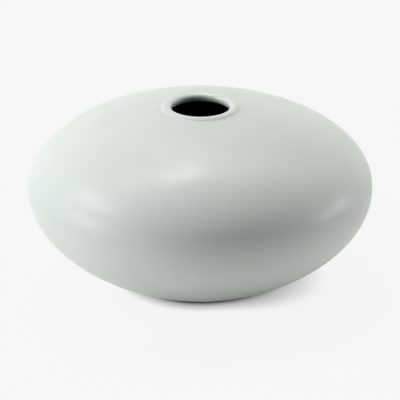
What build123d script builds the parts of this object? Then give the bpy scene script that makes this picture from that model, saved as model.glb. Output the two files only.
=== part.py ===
from build123d import *
import os
from math import copysign

# Pillow vase: a wide, flattened, closed vessel of glazed stoneware with a small lipped mouth.
# Two thrown bowls are luted rim to rim at the widest line, trimmed to a low foot ring, then glazed
# outside, inside and under the foot. Millimetres, +Z up, origin on the table below the mouth.

# Finished outline, over the glaze
body_diameter = 220.0
dome_rise = 55.2  # widest line up to the crown, which the mouth takes away
dome_upright_pull = 41.6  # how strongly the outline stays upright above the widest line
dome_level_pull = 25.7  # how strongly it stays level at the crown
bowl_fall = 68.2  # widest line down to the lowest point, which the foot takes away
bowl_upright_pull = 36.0  # how strongly the outline stays upright below the widest line
bowl_level_pull = 49.5  # how strongly it stays level at the lowest point

# Clay wall and coats of glaze
wall_thickness = 5.0
floor_thickness = 6.0
floor_pull = 60.0  # how strongly the inside floor stays level
glaze_thickness = 0.5

# Mouth and lip
mouth_bore = 36.6
lip_width = 3.5  # bore to the crest of the lip
lip_flare = 4.4  # crest to where the lip's slope runs out on the dome
lip_rise = 1.2  # dome up to the crest of the lip
lip_edge_rounding = 2.1  # clay edge at the top of the throat
throat_length = 0.8  # straight wall of the throat
throat_flare = 14.0  # bore out to where the wall's curve runs out on the ceiling

# Foot
foot_diameter = 80.0
foot_ring_width = 6.0
foot_height = 3.2  # table up to the springing of the bowl
foot_recess = 3.5  # table up to the base inside the ring
foot_edge_rounding = 0.8
recess_rounding = 1.5
dry_margin = 1.5  # bare clay between the foot ring and the glaze line

# Luted seam at the widest line
slip_thickness = 0.5
tongue_depth = 1.8
seam_land = 1.2  # flat of the rim on either side of the tongue

# How far a cut runs past what it cuts
overrun = 5.0

# Shape ratios
bend_share = 1.5  # bend radius at the end of a cubic curve, from its pulls
flare_pull_share = 0.5  # of the lip's slope, how far each end keeps its direction

body_radius = body_diameter / 2
hollow_inset = glaze_thickness + wall_thickness + glaze_thickness
crest_radius = mouth_bore / 2 + lip_width
foot_radius = foot_diameter / 2
foot_bore_radius = foot_radius - foot_ring_width
glaze_line_radius = foot_radius + dry_margin


def inset_pull(pull, reach, inset):
    """Pull of a curve that lies the inset inside another, so that the gap between them stays even."""
    bend_radius = bend_share * pull**2 / reach
    return pull * (1 - inset / bend_radius)


def outline(rise, inset):
    """Quarter outline from the widest line to the axis, moved in by the inset. A fall is a rise below 0."""
    side = copysign(1, rise)
    radius = body_radius - inset
    end = rise - side * inset
    upright_pull = dome_upright_pull if rise > 0 else bowl_upright_pull
    level_pull = dome_level_pull if rise > 0 else bowl_level_pull
    upright = side * inset_pull(upright_pull, body_radius - level_pull, inset)
    level = inset_pull(level_pull, abs(rise) - upright_pull, inset)
    return Bezier((radius, 0), (radius, upright), (level, end), (0, end), mode=Mode.PRIVATE)


def point_at(curve, radius):
    """Point of a quarter outline at that distance from the axis."""
    return curve.find_intersection_points(Axis((radius, 0, 0), (0, 1, 0)))[0]


# Heights in the sections are measured from the widest line
rim = point_at(outline(dome_rise, 0), crest_radius).Y + lip_rise
throat_bottom = rim - glaze_thickness - lip_edge_rounding - throat_length
dip_line = throat_bottom + throat_length / 2
table = point_at(outline(-bowl_fall, glaze_thickness), foot_radius).Y - foot_height
base = table + foot_recess
floor = base + floor_thickness
section_plane = Plane(origin=(0, 0, -table), x_dir=(1, 0, 0), z_dir=(0, -1, 0))


def body_section(inset):
    """Everything inside the outer surface, with the lip, moved in by the inset."""
    dome = outline(dome_rise, inset)
    bowl = outline(-bowl_fall, inset)
    runout = point_at(dome, crest_radius + lip_flare)
    pull = lip_flare * flare_pull_share
    slope_start = runout + (dome % dome.param_at_point(runout)) * pull
    crest = Vector(crest_radius, rim - inset)
    with BuildSketch() as section:
        with BuildLine():
            add(bowl)
            add(dome.trim(dome @ 0, runout))
            Bezier(runout, slope_start, crest + Vector(pull, 0), crest)
            Polyline(crest, (0, crest.Y), bowl @ 1)
        make_face()
    return section.sketch


def hollow_section(coat):
    """The cavity and its throat, as they are under that thickness of the inner coat."""
    ceiling = outline(dome_rise, hollow_inset - coat)
    side = ceiling @ 0
    upright = inset_pull(bowl_upright_pull, body_radius - bowl_level_pull, hollow_inset - coat)
    bottom = floor + glaze_thickness - coat
    throat_radius = mouth_bore / 2 + coat
    turn = point_at(ceiling, mouth_bore / 2 + throat_flare)
    way = ceiling % ceiling.param_at_point(turn)
    corner = turn + way * ((throat_radius - turn.X) / way.X)
    throat_foot = Vector(throat_radius, throat_bottom)
    top = rim + overrun
    with BuildSketch() as section:
        with BuildLine():
            Bezier((0, bottom), (floor_pull, bottom), side - Vector(0, upright), side)
            add(ceiling.trim(side, turn))
            Bezier(turn, corner, throat_foot)
            Polyline(throat_foot, (throat_radius, top), (0, top), (0, bottom))
        make_face()
    return section.sketch


def band(inner, outer, bottom, top):
    """Rectangle between two radii and two heights."""
    with BuildSketch() as section:
        with Locations((inner, bottom)):
            Rectangle(outer - inner, top - bottom, align=Align.MIN)
    return section.sketch


def above_seam(height):
    """Everything above the profile of the tongue, with the flats of the rim at that height."""
    inner = body_radius - glaze_thickness - wall_thickness
    outer = body_radius - glaze_thickness
    side = body_radius + overrun
    top = rim + overrun
    with BuildSketch() as section:
        with BuildLine():
            Polyline(
                (0, height),
                (inner + seam_land, height),
                ((inner + outer) / 2, height - tongue_depth),
                (outer - seam_land, height),
                (side, height),
                (side, top),
                (0, top),
                close=True,
            )
        make_face()
    return section.sketch


def corner_of(section, radius, height):
    """Corner of a section nearest to that place."""
    return section.vertices().sort_by_distance((radius, height))[0]


clay_body = body_section(glaze_thickness)
clay_hollow = hollow_section(glaze_thickness)
finished_body = body_section(0)
finished_hollow = hollow_section(0)
groove = above_seam(-slip_thickness / 2)
tongue = above_seam(slip_thickness / 2)
below_table = band(0, body_radius, -bowl_fall - overrun, table)
foot_ring = band(foot_bore_radius, foot_radius, table, floor)
recess = band(0, foot_bore_radius, table - overrun, base)
below_dip_line = band(0, body_radius, table - overrun, dip_line)
dry_foot = band(0, glaze_line_radius, -bowl_fall - overrun, floor)
base_disc = band(0, foot_bore_radius - recess_rounding, base - glaze_thickness, base)

# Fired clay before glazing, both halves and the seam in one section
with BuildSketch() as clay_section:
    add(clay_body)
    add(below_table, mode=Mode.SUBTRACT)
    add(foot_ring)
    add(recess, mode=Mode.SUBTRACT)
    add(clay_hollow, mode=Mode.SUBTRACT)
    fillet(corner_of(clay_section, foot_radius, table), foot_edge_rounding)
    fillet(corner_of(clay_section, foot_bore_radius, table), foot_edge_rounding)
    fillet(corner_of(clay_section, foot_bore_radius, base), recess_rounding)
    throat_top = corner_of(clay_section, mouth_bore / 2 + glaze_thickness, rim - glaze_thickness)
    fillet(throat_top, lip_edge_rounding)

# The same vase with its coats
with BuildSketch() as finished_section:
    add(finished_body)
    add(finished_hollow, mode=Mode.SUBTRACT)
    fillet(corner_of(finished_section, mouth_bore / 2, rim), lip_edge_rounding + glaze_thickness)

# Inside of the clay up to the line in the throat where the two coats meet
with BuildSketch() as liner_zone:
    add(clay_hollow)
    add(below_dip_line, mode=Mode.INTERSECT)

# Lower half, with the foot ring cut from it and a groove round its rim
with BuildPart() as lower_bowl:
    with BuildSketch(section_plane):
        add(clay_section.sketch)
        add(groove, mode=Mode.SUBTRACT)
    revolve(axis=Axis.Z)
lower_bowl.part.label = "lower_bowl"

# Upper half, with the throat and lip, and a tongue round its rim
with BuildPart() as upper_dome:
    with BuildSketch(section_plane):
        add(clay_section.sketch)
        add(tongue, mode=Mode.INTERSECT)
    revolve(axis=Axis.Z)
upper_dome.part.label = "upper_dome"

# Clay slip that fills the joint and holds the halves together
with BuildPart() as luting_slip:
    with BuildSketch(section_plane):
        add(clay_section.sketch)
        add(groove, mode=Mode.INTERSECT)
        add(tongue, mode=Mode.SUBTRACT)
    revolve(axis=Axis.Z)
luting_slip.part.label = "luting_slip"

# Coat from the glaze line above the foot, over the lip and part of the way down the throat
with BuildPart() as outer_glaze:
    with BuildSketch(section_plane):
        add(finished_section.sketch)
        add(clay_section.sketch, mode=Mode.SUBTRACT)
        add(liner_zone.sketch, mode=Mode.SUBTRACT)
        add(dry_foot, mode=Mode.SUBTRACT)
    revolve(axis=Axis.Z)
outer_glaze.part.label = "outer_glaze"

# Watertight coat of the cavity
with BuildPart() as inner_glaze:
    with BuildSketch(section_plane):
        add(liner_zone.sketch)
        add(finished_hollow, mode=Mode.SUBTRACT)
    revolve(axis=Axis.Z)
inner_glaze.part.label = "inner_glaze"

# Disc of glaze on the base, inside the bare foot ring
with BuildPart() as base_glaze:
    with BuildSketch(section_plane):
        add(base_disc)
    revolve(axis=Axis.Z)
base_glaze.part.label = "base_glaze"

os.makedirs("parts", exist_ok=True)
for piece in (lower_bowl, upper_dome, luting_slip, outer_glaze, inner_glaze, base_glaze):
    export_step(piece.part, f"parts/{piece.part.label}.step")
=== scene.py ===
from math import copysign, cos, pi, radians, sin, tan

import bpy
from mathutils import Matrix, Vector


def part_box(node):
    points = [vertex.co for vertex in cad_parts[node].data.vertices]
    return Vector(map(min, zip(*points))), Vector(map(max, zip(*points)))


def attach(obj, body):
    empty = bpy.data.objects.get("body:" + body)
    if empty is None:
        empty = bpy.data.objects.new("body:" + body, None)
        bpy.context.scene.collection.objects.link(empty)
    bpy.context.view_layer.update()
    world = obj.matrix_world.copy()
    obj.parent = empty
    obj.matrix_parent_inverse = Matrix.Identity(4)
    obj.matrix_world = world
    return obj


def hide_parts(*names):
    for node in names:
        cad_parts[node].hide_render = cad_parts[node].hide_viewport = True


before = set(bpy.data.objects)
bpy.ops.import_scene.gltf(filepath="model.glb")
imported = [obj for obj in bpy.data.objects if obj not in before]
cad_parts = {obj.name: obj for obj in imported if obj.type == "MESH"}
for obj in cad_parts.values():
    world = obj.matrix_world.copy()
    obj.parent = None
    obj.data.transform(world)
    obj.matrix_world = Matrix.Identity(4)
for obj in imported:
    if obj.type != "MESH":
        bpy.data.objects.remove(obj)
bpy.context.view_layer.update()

# The solids are in metres and the sections below are in millimetres
MM = 0.001

# Sizes of the vase that the boxes of its solids don't give
dome_rise = 55.2
dome_upright_pull = 41.6
dome_level_pull = 25.7
bowl_fall = 68.2
bowl_upright_pull = 36.0
bowl_level_pull = 49.5
floor_pull = 60.0
wall_thickness = 5.0
glaze_thickness = 0.5
slip_thickness = 0.5
mouth_bore = 36.6
lip_width = 3.5
lip_flare = 4.4
lip_edge_rounding = 2.1
throat_length = 0.8
throat_flare = 14.0
foot_ring_width = 6.0
recess_rounding = 1.5
dry_margin = 1.5
bend_share = 1.5
flare_pull_share = 0.5

# Sizes that the boxes give
body_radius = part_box("outer_glaze")[1].x / MM
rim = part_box("outer_glaze")[1].z / MM
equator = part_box("luting_slip")[1].z / MM - slip_thickness / 2
dip_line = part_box("inner_glaze")[1].z / MM
floor_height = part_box("inner_glaze")[0].z / MM + glaze_thickness
base_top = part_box("base_glaze")[1].z / MM
base_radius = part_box("base_glaze")[1].x / MM
crest_radius = mouth_bore / 2 + lip_width
foot_radius = base_radius + recess_rounding + foot_ring_width
glaze_line_radius = foot_radius + dry_margin
hollow_inset = glaze_thickness + wall_thickness + glaze_thickness

# Marks of the making: the lines that a turning tool leaves outside, and fingers inside
turning_pitch = 4.6
turning_depth = 0.015
throwing_pitch = 9.0
throwing_depth = 0.12

# Fineness of the turned meshes: steps round the axis, along a curve and round a small arc
turn_steps = 200
curve_steps = 110
arc_steps = 12

# Edges that turn by more than this many degrees are shaded sharp
sharp_angle = 40


def bezier(points, steps=curve_steps):
    """Points along a Bezier curve of any degree, both ends included."""
    curve = []
    for step in range(steps + 1):
        t = step / steps
        level = [Vector(point) for point in points]
        while len(level) > 1:
            level = [a.lerp(b, t) for a, b in zip(level, level[1:])]
        curve.append(level[0])
    return curve


def inset_pull(pull, reach, inset):
    """Pull of a curve that lies the inset inside another, so that the gap between them stays even."""
    bend_radius = bend_share * pull**2 / reach
    return pull * (1 - inset / bend_radius)


def outline(rise, inset):
    """Quarter outline from the widest line to the axis, moved in by the inset. A fall is a rise below 0."""
    side = copysign(1, rise)
    upright_pull = dome_upright_pull if rise > 0 else bowl_upright_pull
    level_pull = dome_level_pull if rise > 0 else bowl_level_pull
    radius = body_radius - inset
    end = equator + rise - side * inset
    upright = side * inset_pull(upright_pull, body_radius - level_pull, inset)
    level = inset_pull(level_pull, abs(rise) - upright_pull, inset)
    return bezier([(radius, equator), (radius, equator + upright), (level, end), (0, end)])


def point_at(curve, radius):
    """Point of a quarter outline at that distance from the axis, and the direction of the curve there."""
    for a, b in zip(curve, curve[1:]):
        if b.x <= radius <= a.x:
            return a.lerp(b, (a.x - radius) / (a.x - b.x)), (b - a).normalized()
    raise ValueError("the outline doesn't reach that radius")


def cut_at(curve, radius):
    """The stretch of a quarter outline from the widest line in to a radius."""
    return [point for point in curve if point.x > radius] + [point_at(curve, radius)[0]]


def arc(center, radius, start, end):
    """Points of an arc, from one angle to another in degrees, both ends included."""
    angles = [radians(start + (end - start) * step / arc_steps) for step in range(arc_steps + 1)]
    return [Vector((center[0] + radius * cos(angle), center[1] + radius * sin(angle))) for angle in angles]


def outer_path(inset, throat_radius, rounding):
    """From the glaze line up over the bowl, dome and lip and into the throat, down to the dip line."""
    dome = outline(dome_rise, inset)
    bowl = outline(-bowl_fall, inset)
    top = rim - inset
    runout, direction = point_at(dome, crest_radius + lip_flare)
    pull = lip_flare * flare_pull_share
    slope = [runout, runout + direction * pull, (crest_radius + pull, top), (crest_radius, top)]
    path = cut_at(bowl, glaze_line_radius + glaze_thickness / 2)[::-1]
    path += cut_at(dome, crest_radius + lip_flare)[1:]
    path += bezier(slope, 2 * arc_steps)[1:]
    path += arc((throat_radius + rounding, top - rounding), rounding, 90, 180)
    path.append(Vector((throat_radius, dip_line)))
    return path


def hollow_path(coat):
    """From the middle of the floor inside up to the dip line, under that thickness of glaze."""
    ceiling = outline(dome_rise, hollow_inset - coat)
    side = ceiling[0]
    upright = inset_pull(bowl_upright_pull, body_radius - bowl_level_pull, hollow_inset - coat)
    bottom = floor_height - coat
    throat_radius = mouth_bore / 2 + coat
    turn_radius = mouth_bore / 2 + throat_flare
    turn, direction = point_at(ceiling, turn_radius)
    corner = turn + direction * ((throat_radius - turn.x) / direction.x)
    path = bezier([(0, bottom), (floor_pull, bottom), (side.x, equator - upright), side])
    path += cut_at(ceiling, turn_radius)[1:]
    path += bezier([turn, corner, (throat_radius, dip_line - throat_length / 2)], 2 * arc_steps)[1:]
    path.append(Vector((throat_radius, dip_line)))
    return path


def round_end(start, end):
    """Points of a half circle from the end of one face of a coat to the other, without the two ends."""
    center = (start + end) / 2
    out = start - center
    ahead = Vector((-out.y, out.x))
    angles = [pi * step / arc_steps for step in range(1, arc_steps)]
    return [center + out * cos(angle) + ahead * sin(angle) for angle in angles]


def turned(name, loop, marked=0, pitch=1.0, depth=0.0):
    """Closed mesh that a closed loop of (radius, height) points makes when it is turned about the axis.

    The first points of the loop, as many as are marked, carry a shallow spiral of that pitch and depth.
    """
    count = len(loop)
    area = sum(a.x * b.y - b.x * a.y for a, b in zip(loop, loop[1:] + loop[:1]))
    turn = copysign(1, area)
    vertices = []
    rings = []
    length = 0.0
    for index, point in enumerate(loop):
        along = loop[(index + 1) % count] - loop[index - 1]
        inward = Vector((-along.y, along.x)).normalized() * turn
        length += (point - loop[index - 1]).length if index else 0.0
        ring = []
        for step in range(turn_steps if point.x > 0 else 1):
            angle = 2 * pi * step / turn_steps
            place = point
            if 0 < index < marked:
                wave = 0.5 + 0.5 * sin(2 * pi * length / pitch + angle)
                place = point + inward * depth * wave
            ring.append(len(vertices))
            vertices.append((place.x * cos(angle) * MM, place.x * sin(angle) * MM, place.y * MM))
        rings.append(ring)
    faces = []
    for ring, following in zip(rings, rings[1:] + rings[:1]):
        for step in range(turn_steps):
            after = (step + 1) % turn_steps
            corners = [
                ring[step % len(ring)],
                ring[after % len(ring)],
                following[after % len(following)],
                following[step % len(following)],
            ]
            corners = list(dict.fromkeys(corners))
            if len(corners) > 2:
                faces.append(corners if turn > 0 else corners[::-1])
    mesh = bpy.data.meshes.new(name)
    mesh.from_pydata(vertices, [], faces)
    mesh.validate()
    mesh.shade_smooth()
    mesh.set_sharp_from_angle(angle=radians(sharp_angle))
    piece = bpy.data.objects.new(name, mesh)
    bpy.context.scene.collection.objects.link(piece)
    return piece


class Nodes:
    """A material's node tree, with short calls to add and join nodes."""

    def __init__(self, owner):
        owner.use_nodes = True
        self.tree = owner.node_tree
        self.tree.nodes.clear()

    def add(self, kind, settings=None, **inputs):
        """New node. An input is a socket's name with _ for each space, or i and its number."""
        node = self.tree.nodes.new("ShaderNode" + kind)
        for key, value in (settings or {}).items():
            setattr(node, key, value)
        for key, value in inputs.items():
            self.put(node, key, value)
        return node

    def put(self, node, key, value):
        if key.startswith("i") and key[1:].isdigit():
            socket = node.inputs[int(key[1:])]
        else:
            socket = node.inputs[key.replace("_", " ")]
        if isinstance(value, bpy.types.NodeSocket):
            self.tree.links.new(value, socket)
        else:
            socket.default_value = value

    def math(self, operation, a, b=0.0, c=0.0):
        return self.add("Math", {"operation": operation}, i0=a, i1=b, i2=c).outputs[0]

    def fade(self, value, low, high):
        """0 up to low, 1 from high on, and smooth between them. With high below low it runs the other way."""
        node = self.add("MapRange", {"interpolation_type": "SMOOTHSTEP"}, Value=value)
        node.inputs["From Min"].default_value = low
        node.inputs["From Max"].default_value = high
        return node.outputs["Result"]

    def mix(self, share, a, b):
        node = self.add("Mix", {"data_type": "RGBA"})
        self.put(node, "i0", share)
        self.put(node, "i6", a)
        self.put(node, "i7", b)
        return node.outputs[2]

    def noise(self, place, size, detail=2.0, roughness=0.5):
        """Noise whose features are about that size, in millimetres."""
        node = self.add("TexNoise", Vector=place, Scale=1 / (size * MM), Detail=detail, Roughness=roughness)
        return node.outputs["Fac"]

    def place(self):
        return self.add("TexCoord").outputs["Object"]

    def radius(self, place):
        flat = self.add("VectorMath", {"operation": "MULTIPLY"}, i0=place, i1=(1, 1, 0))
        return self.add("VectorMath", {"operation": "LENGTH"}, i0=flat.outputs[0]).outputs["Value"]

    def height(self, place):
        return self.add("SeparateXYZ", Vector=place).outputs["Z"]

    def bump(self, height, depth, normal=None):
        """Normal of a surface with that relief, in millimetres."""
        node = self.add("Bump", Strength=1.0, Distance=depth * MM, Height=height)
        if normal is not None:
            self.put(node, "Normal", normal)
        return node.outputs["Normal"]

    def finish(self, shader):
        self.add("OutputMaterial", Surface=shader)


def grey(level):
    return (level, level, level, 1.0)


def from_crest(out):
    """Radius that far outside the crest of the lip, in metres."""
    return (crest_radius + out) * MM


def celadon_material():
    """Pale grey-green satin glaze, whiter and glossier on the lip's edge, where the glaze thins and a
    highlight is painted, darker in the crease round the lip, where the glaze pools and shade is painted.
    """
    deep_green = (0.675, 0.735, 0.690, 1)
    pale_green = (0.705, 0.760, 0.716, 1)
    speck_white = (0.80, 0.83, 0.79, 1)
    # Crease round the lip: pooled glaze with painted crease shade
    pool_and_shade_green = (0.59, 0.65, 0.60, 1)
    # Lip's edge: thin glaze breaking white, with a painted highlight
    thin_glaze_and_highlight_white = (0.82, 0.87, 0.83, 1)
    cloud_size = 45
    cloud_range = (0.3, 0.7)
    speck_size = 0.9
    speck_range = (0.66, 0.74)
    speck_share = 0.12
    lip_zone_start = 6
    lip_zone_full = 3
    # The pooled glaze and painted crease shade lie in the crease round the lip, at these shares of the flare
    # outside the crest
    pool_and_shade_inner_shares = (0.3, 0.8)
    pool_and_shade_outer_shares = (1.7, 1.1)
    pool_and_shade_share = 0.2
    thin_and_highlight_share = 0.55
    thin_and_highlight_start = 0.3
    thin_and_highlight_full = -1.2
    grain_size = 0.35
    grain_depth = 0.006
    peel_size = 3.0
    peel_depth = 0.02
    roughness = 0.46
    peel_roughness = 0.08
    thin_roughness = -0.3

    material = bpy.data.materials.new("celadon_glaze")
    nodes = Nodes(material)
    place = nodes.place()
    radius = nodes.radius(place)
    height = nodes.height(place)
    cloud = nodes.noise(place, cloud_size, detail=3)
    colour = nodes.mix(nodes.fade(cloud, *cloud_range), deep_green, pale_green)
    speck = nodes.fade(nodes.noise(place, speck_size, detail=1), *speck_range)
    colour = nodes.mix(nodes.math("MULTIPLY", speck, speck_share), colour, speck_white)
    on_top = nodes.fade(height, (rim - lip_zone_start) * MM, (rim - lip_zone_full) * MM)
    # Painted crease shade with pooled glaze: darker in the crease round the lip
    inner_side = nodes.fade(radius, *[from_crest(share * lip_flare) for share in pool_and_shade_inner_shares])
    outer_side = nodes.fade(radius, *[from_crest(share * lip_flare) for share in pool_and_shade_outer_shares])
    pool_and_shade = nodes.math("MULTIPLY", inner_side, outer_side)
    pool_and_shade = nodes.math("MULTIPLY", pool_and_shade, on_top)
    colour = nodes.mix(nodes.math("MULTIPLY", pool_and_shade, pool_and_shade_share), colour, pool_and_shade_green)
    # Painted highlight with thin glaze: whiter on the lip's edge
    thin_and_highlight = nodes.fade(radius, from_crest(thin_and_highlight_start), from_crest(thin_and_highlight_full))
    thin_and_highlight = nodes.math("MULTIPLY", thin_and_highlight, on_top)
    colour = nodes.mix(nodes.math("MULTIPLY", thin_and_highlight, thin_and_highlight_share), colour, thin_glaze_and_highlight_white)
    grain = nodes.noise(place, grain_size)
    peel = nodes.noise(place, peel_size)
    uneven = nodes.math("MULTIPLY_ADD", peel, peel_roughness, roughness)
    shader = nodes.add(
        "BsdfPrincipled",
        Base_Color=colour,
        Roughness=nodes.math("MULTIPLY_ADD", thin_and_highlight, thin_roughness, uneven),
        Normal=nodes.bump(grain, grain_depth, nodes.bump(peel, peel_depth)),
        Specular_IOR_Level=0.4,
        Coat_Weight=0.15,
        Coat_Roughness=0.18,
    )
    nodes.finish(shader.outputs[0])
    return material


def clay_material(name, light, dark):
    """Bare fired stoneware: dry, finely grained and lightly speckled, with the fine rings of trimming."""
    iron_brown = (0.30, 0.22, 0.15, 1)
    cloud_size = 12
    cloud_range = (0.35, 0.7)
    iron_size = 0.7
    iron_range = (0.70, 0.78)
    iron_share = 0.45
    grain_size = 0.25
    grain_depth = 0.03
    ring_pitch = 0.8
    ring_depth = 0.01
    roughness = 0.78
    grain_roughness = 0.15

    material = bpy.data.materials.new(name)
    nodes = Nodes(material)
    place = nodes.place()
    cloud = nodes.noise(place, cloud_size, detail=4)
    colour = nodes.mix(nodes.fade(cloud, *cloud_range), light, dark)
    iron = nodes.fade(nodes.noise(place, iron_size, detail=1), *iron_range)
    colour = nodes.mix(nodes.math("MULTIPLY", iron, iron_share), colour, iron_brown)
    grain = nodes.noise(place, grain_size, detail=3, roughness=0.65)
    rings = nodes.math("SINE", nodes.math("MULTIPLY", nodes.radius(place), 2 * pi / (ring_pitch * MM)))
    shader = nodes.add(
        "BsdfPrincipled",
        Base_Color=colour,
        Roughness=nodes.math("MULTIPLY_ADD", grain, grain_roughness, roughness),
        Normal=nodes.bump(grain, grain_depth, nodes.bump(rings, ring_depth)),
    )
    nodes.finish(shader.outputs[0])
    return material


def painted_shade_liner_material():
    """Satin glaze inside the vase, coloured near black as painted shade for the dark cavity, a little
    mottled, which takes the outer colour where they meet.
    """
    # Painted shade: the cavity's darkness comes from these colours
    deep_painted_shade = (0.085, 0.080, 0.062, 1)
    soft_painted_shade = (0.110, 0.102, 0.080, 1)
    outer_green = (0.690, 0.748, 0.703, 1)
    cloud_size = 8
    cloud_range = (0.3, 0.7)
    ragged_size = 4
    ragged_height = 0.6
    overlap_start = 2.0
    overlap_full = 0.4
    peel_size = 2.0
    peel_depth = 0.02
    roughness = 0.4
    peel_roughness = 0.2

    material = bpy.data.materials.new("liner_glaze")
    nodes = Nodes(material)
    place = nodes.place()
    cloud = nodes.noise(place, cloud_size, detail=3)
    colour = nodes.mix(nodes.fade(cloud, *cloud_range), deep_painted_shade, soft_painted_shade)
    ragged = nodes.noise(place, ragged_size)
    ragged = nodes.math("MULTIPLY_ADD", ragged, ragged_height * MM, nodes.height(place))
    overlap = nodes.fade(ragged, (dip_line - overlap_start) * MM, (dip_line - overlap_full) * MM)
    colour = nodes.mix(overlap, colour, outer_green)
    peel = nodes.noise(place, peel_size)
    shader = nodes.add(
        "BsdfPrincipled",
        Base_Color=colour,
        Roughness=nodes.math("MULTIPLY_ADD", peel, peel_roughness, roughness),
        Normal=nodes.bump(peel, peel_depth),
    )
    nodes.finish(shader.outputs[0])
    return material


def dress(piece, material, node):
    """Material of a piece that stands for a solid, which goes under the root body while the solid is hidden.
    """
    piece.data.materials.append(material)
    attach(piece, "root")
    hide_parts(node)


celadon = celadon_material()
# The clay is coloured much darker than a bare stoneware foot: painted shade for the dark gap under the foot.
# The slip is coloured to match.
stoneware = clay_material("stoneware", light=(0.38, 0.34, 0.29, 1), dark=(0.31, 0.275, 0.23, 1))
slip_clay = clay_material("slip", light=(0.36, 0.32, 0.27, 1), dark=(0.30, 0.265, 0.22, 1))
painted_shade_liner = painted_shade_liner_material()

# Coat outside: its face, then back along the clay, with a rounded edge where it ends above the foot
face = outer_path(0, mouth_bore / 2, lip_edge_rounding + glaze_thickness)
back = outer_path(glaze_thickness, mouth_bore / 2 + glaze_thickness, lip_edge_rounding)[::-1]
section = face + back + round_end(back[-1], face[0])
coat = turned("outer_coat", section, len(face), turning_pitch, turning_depth)
dress(coat, celadon, "outer_glaze")

# Coat inside: the face of the cavity, with the rings that fingers leave, then back along the clay
face = hollow_path(0)
back = hollow_path(glaze_thickness)[::-1]
lining = turned("inner_coat", face + back, len(face), throwing_pitch, throwing_depth)
dress(lining, painted_shade_liner, "inner_glaze")

# Glaze under the base: a thin disc whose lower edge is drawn in to a round
disc = [Vector((0, base_top)), Vector((0, base_top - glaze_thickness))]
disc += arc((base_radius - glaze_thickness, base_top), glaze_thickness, -90, 0)
dress(turned("base_coat", disc), celadon, "base_glaze")

for node, material in (("lower_bowl", stoneware), ("upper_dome", stoneware), ("luting_slip", slip_clay)):
    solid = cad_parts[node]
    solid.data.materials.clear()
    solid.data.materials.append(material)

# Camera: the vase stands in the photograph's frame as it does in the photograph
frame_pixels = 400
pixels_per_mm = 1.5613
widest_middle_pixel = (200.42, 184.45)
view_elevation = radians(22.92)
view_distance = 1.76
sensor = 36.0

middle = Vector((0, 0, equator * MM))
across = Vector((1, 0, 0))
upward = Vector((0, sin(view_elevation), cos(view_elevation)))
back_to_eye = Vector((0, -cos(view_elevation), sin(view_elevation)))
off_centre = [(pixel - frame_pixels / 2) / pixels_per_mm * MM for pixel in widest_middle_pixel]
aim = middle - across * off_centre[0] + upward * off_centre[1]
eye = middle + back_to_eye * view_distance

camera = bpy.data.objects.new("camera", bpy.data.cameras.new("camera"))
camera.data.sensor_width = sensor
camera.data.lens = pixels_per_mm / MM * view_distance / frame_pixels * sensor
camera.location = eye
camera.rotation_euler = (aim - eye).to_track_quat("-Z", "Y").to_euler()
bpy.context.scene.collection.objects.link(camera)
bpy.context.scene.camera = camera

# Pale floor: plain and lit, lifted towards an even white where the camera or a reflection sees it
background_level = 0.927
floor_level = 0.94
floor_side = 12.0

# Share of the lift near the vase. It grows to all of it between these radii, in metres
lift_share = 0.96
lift_grows_from = 0.15
lift_all_from = 0.9

# Soft shadow: how near the vase has to be to darken the floor, which grows from left to right
shadow_reach_left = 7.5
shadow_reach_right = 20.5
shadow_from = 5.0
shadow_to = 90.0

# Openness of the floor to the sky: below the first range it is the dark gap at the foot
crevice_range = (0.17, 0.23)
shadow_range = (-0.4, 1.0)

# Reflections see the lit floor near the foot, and the lifted one farther out and to the left
mirror_from = 52.0
mirror_to = 118.0
mirror_left_from = -10.0
mirror_left_to = -70.0


def seen_share(nodes, share, mirrored=1.0):
    """That share for what the camera, a reflection or glass sees, and 0 for the light that bounces.

    Reflections and glass may see less of it, by a factor.
    """
    path = nodes.add("LightPath")
    seen = nodes.math("MAXIMUM", path.outputs["Is Glossy Ray"], path.outputs["Is Transmission Ray"])
    seen = nodes.math("MAXIMUM", nodes.math("MULTIPLY", seen, mirrored), path.outputs["Is Camera Ray"])
    return nodes.math("MULTIPLY", seen, share)


def floor_material():
    """Matt floor with a white that it is mixed with where it is seen, less in the vase's shadow."""
    material = bpy.data.materials.new("floor")
    nodes = Nodes(material)
    place = nodes.place()
    sideways = nodes.add("SeparateXYZ", Vector=place).outputs["X"]
    right = nodes.fade(sideways, shadow_from * MM, shadow_to * MM)
    reach_gain = (shadow_reach_right - shadow_reach_left) * MM
    reach = nodes.math("MULTIPLY_ADD", right, reach_gain, shadow_reach_left * MM)
    near = nodes.add("AmbientOcclusion", Distance=reach)
    crevice = nodes.fade(near.outputs["AO"], *crevice_range)
    open_sky = nodes.math("MULTIPLY", nodes.fade(near.outputs["AO"], *shadow_range), crevice)
    plain = nodes.add("BsdfDiffuse", Color=grey(floor_level))
    white = nodes.add("Emission", Color=grey(background_level), Strength=open_sky)
    radius = nodes.radius(place)
    growth = nodes.fade(radius, lift_grows_from, lift_all_from)
    lift = nodes.math("MULTIPLY_ADD", growth, 1 - lift_share, lift_share)
    far = nodes.fade(radius, mirror_from * MM, mirror_to * MM)
    left = nodes.fade(sideways, mirror_left_from * MM, mirror_left_to * MM)
    share = seen_share(nodes, lift, nodes.math("MAXIMUM", far, left))
    mixed = nodes.add("MixShader", i0=share, i1=plain.outputs[0], i2=white.outputs[0])
    nodes.finish(mixed.outputs[0])
    return material


half = floor_side / 2
floor_corners = [(-half, -half, 0), (half, -half, 0), (half, half, 0), (-half, half, 0)]
floor_mesh = bpy.data.meshes.new("floor")
floor_mesh.from_pydata(floor_corners, [], [(0, 1, 2, 3)])
floor = bpy.data.objects.new("floor", floor_mesh)
floor_mesh.materials.append(floor_material())
bpy.context.scene.collection.objects.link(floor)

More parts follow.
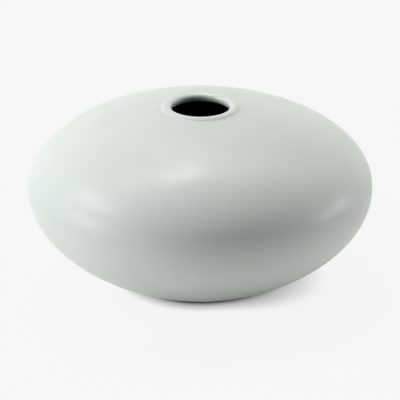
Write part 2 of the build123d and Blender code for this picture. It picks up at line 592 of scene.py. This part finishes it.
# World: it gives no light of its own, and is as pale as the floor where it is seen
world_level = 0.0
world = bpy.data.worlds.new("studio")
bpy.context.scene.world = world
nodes = Nodes(world)
dim = nodes.add("Background", Color=grey(world_level), Strength=1.0)
pale = nodes.add("Background", Color=grey(background_level), Strength=1.0)
mixed = nodes.add("MixShader", i0=seen_share(nodes, 1.0), i1=dim.outputs[0], i2=pale.outputs[0])
nodes.add("OutputWorld", Surface=mixed.outputs[0])

# Soft studio light
lamp_distance = 2.4
white_light = (1, 1, 1)
cool = (0.98, 1.00, 1.02)
warm = (1.03, 1.00, 0.97)


def soft_box(name, azimuth, elevation, wide, tall, level, tint=white_light):
    """Area lamp that faces the vase. Azimuth 0 is to the right, and 90 behind it.

    Its place, its width and its height are the angles at which the vase sees it, in degrees.
    A white card that faces it is lit to that level.
    """
    lamp = bpy.data.lights.new(name, "AREA")
    lamp.shape = "RECTANGLE"
    lamp.size = 2 * lamp_distance * tan(radians(wide / 2))
    lamp.size_y = 2 * lamp_distance * tan(radians(tall / 2))
    lamp.energy = level * (pi * lamp_distance) ** 2
    lamp.color = tint
    flat = cos(radians(elevation))
    way = Vector((flat * cos(radians(azimuth)), flat * sin(radians(azimuth)), sin(radians(elevation))))
    box = bpy.data.objects.new(name, lamp)
    box.location = middle + way * lamp_distance
    box.rotation_euler = (-way).to_track_quat("-Z", "Y").to_euler()
    box.visible_camera = False
    bpy.context.scene.collection.objects.link(box)


soft_box("left_box", azimuth=192, elevation=8, wide=24, tall=20, level=0.318, tint=cool)
soft_box("left_front_card", azimuth=220, elevation=5, wide=30, tall=9, level=0.061, tint=cool)
soft_box("left_high_box", azimuth=180, elevation=38, wide=24, tall=18, level=0.345)
soft_box("top_left_box", azimuth=135, elevation=70, wide=30, tall=20, level=0.196, tint=warm)
soft_box("top_right_box", azimuth=70, elevation=66, wide=30, tall=20, level=0.224, tint=warm)
soft_box("top_strip", azimuth=113, elevation=72.5, wide=15, tall=5, level=0.17)
soft_box("right_card", azimuth=6, elevation=8, wide=28, tall=14, level=0.25)
soft_box("right_high_card", azimuth=38, elevation=42, wide=16, tall=34, level=0.069)
soft_box("back_card", azimuth=60, elevation=10, wide=40, tall=14, level=0.024, tint=warm)
soft_box("back_high_card", azimuth=90, elevation=42, wide=60, tall=20, level=0.018, tint=warm)

bpy.context.scene.view_settings.view_transform = "Standard"
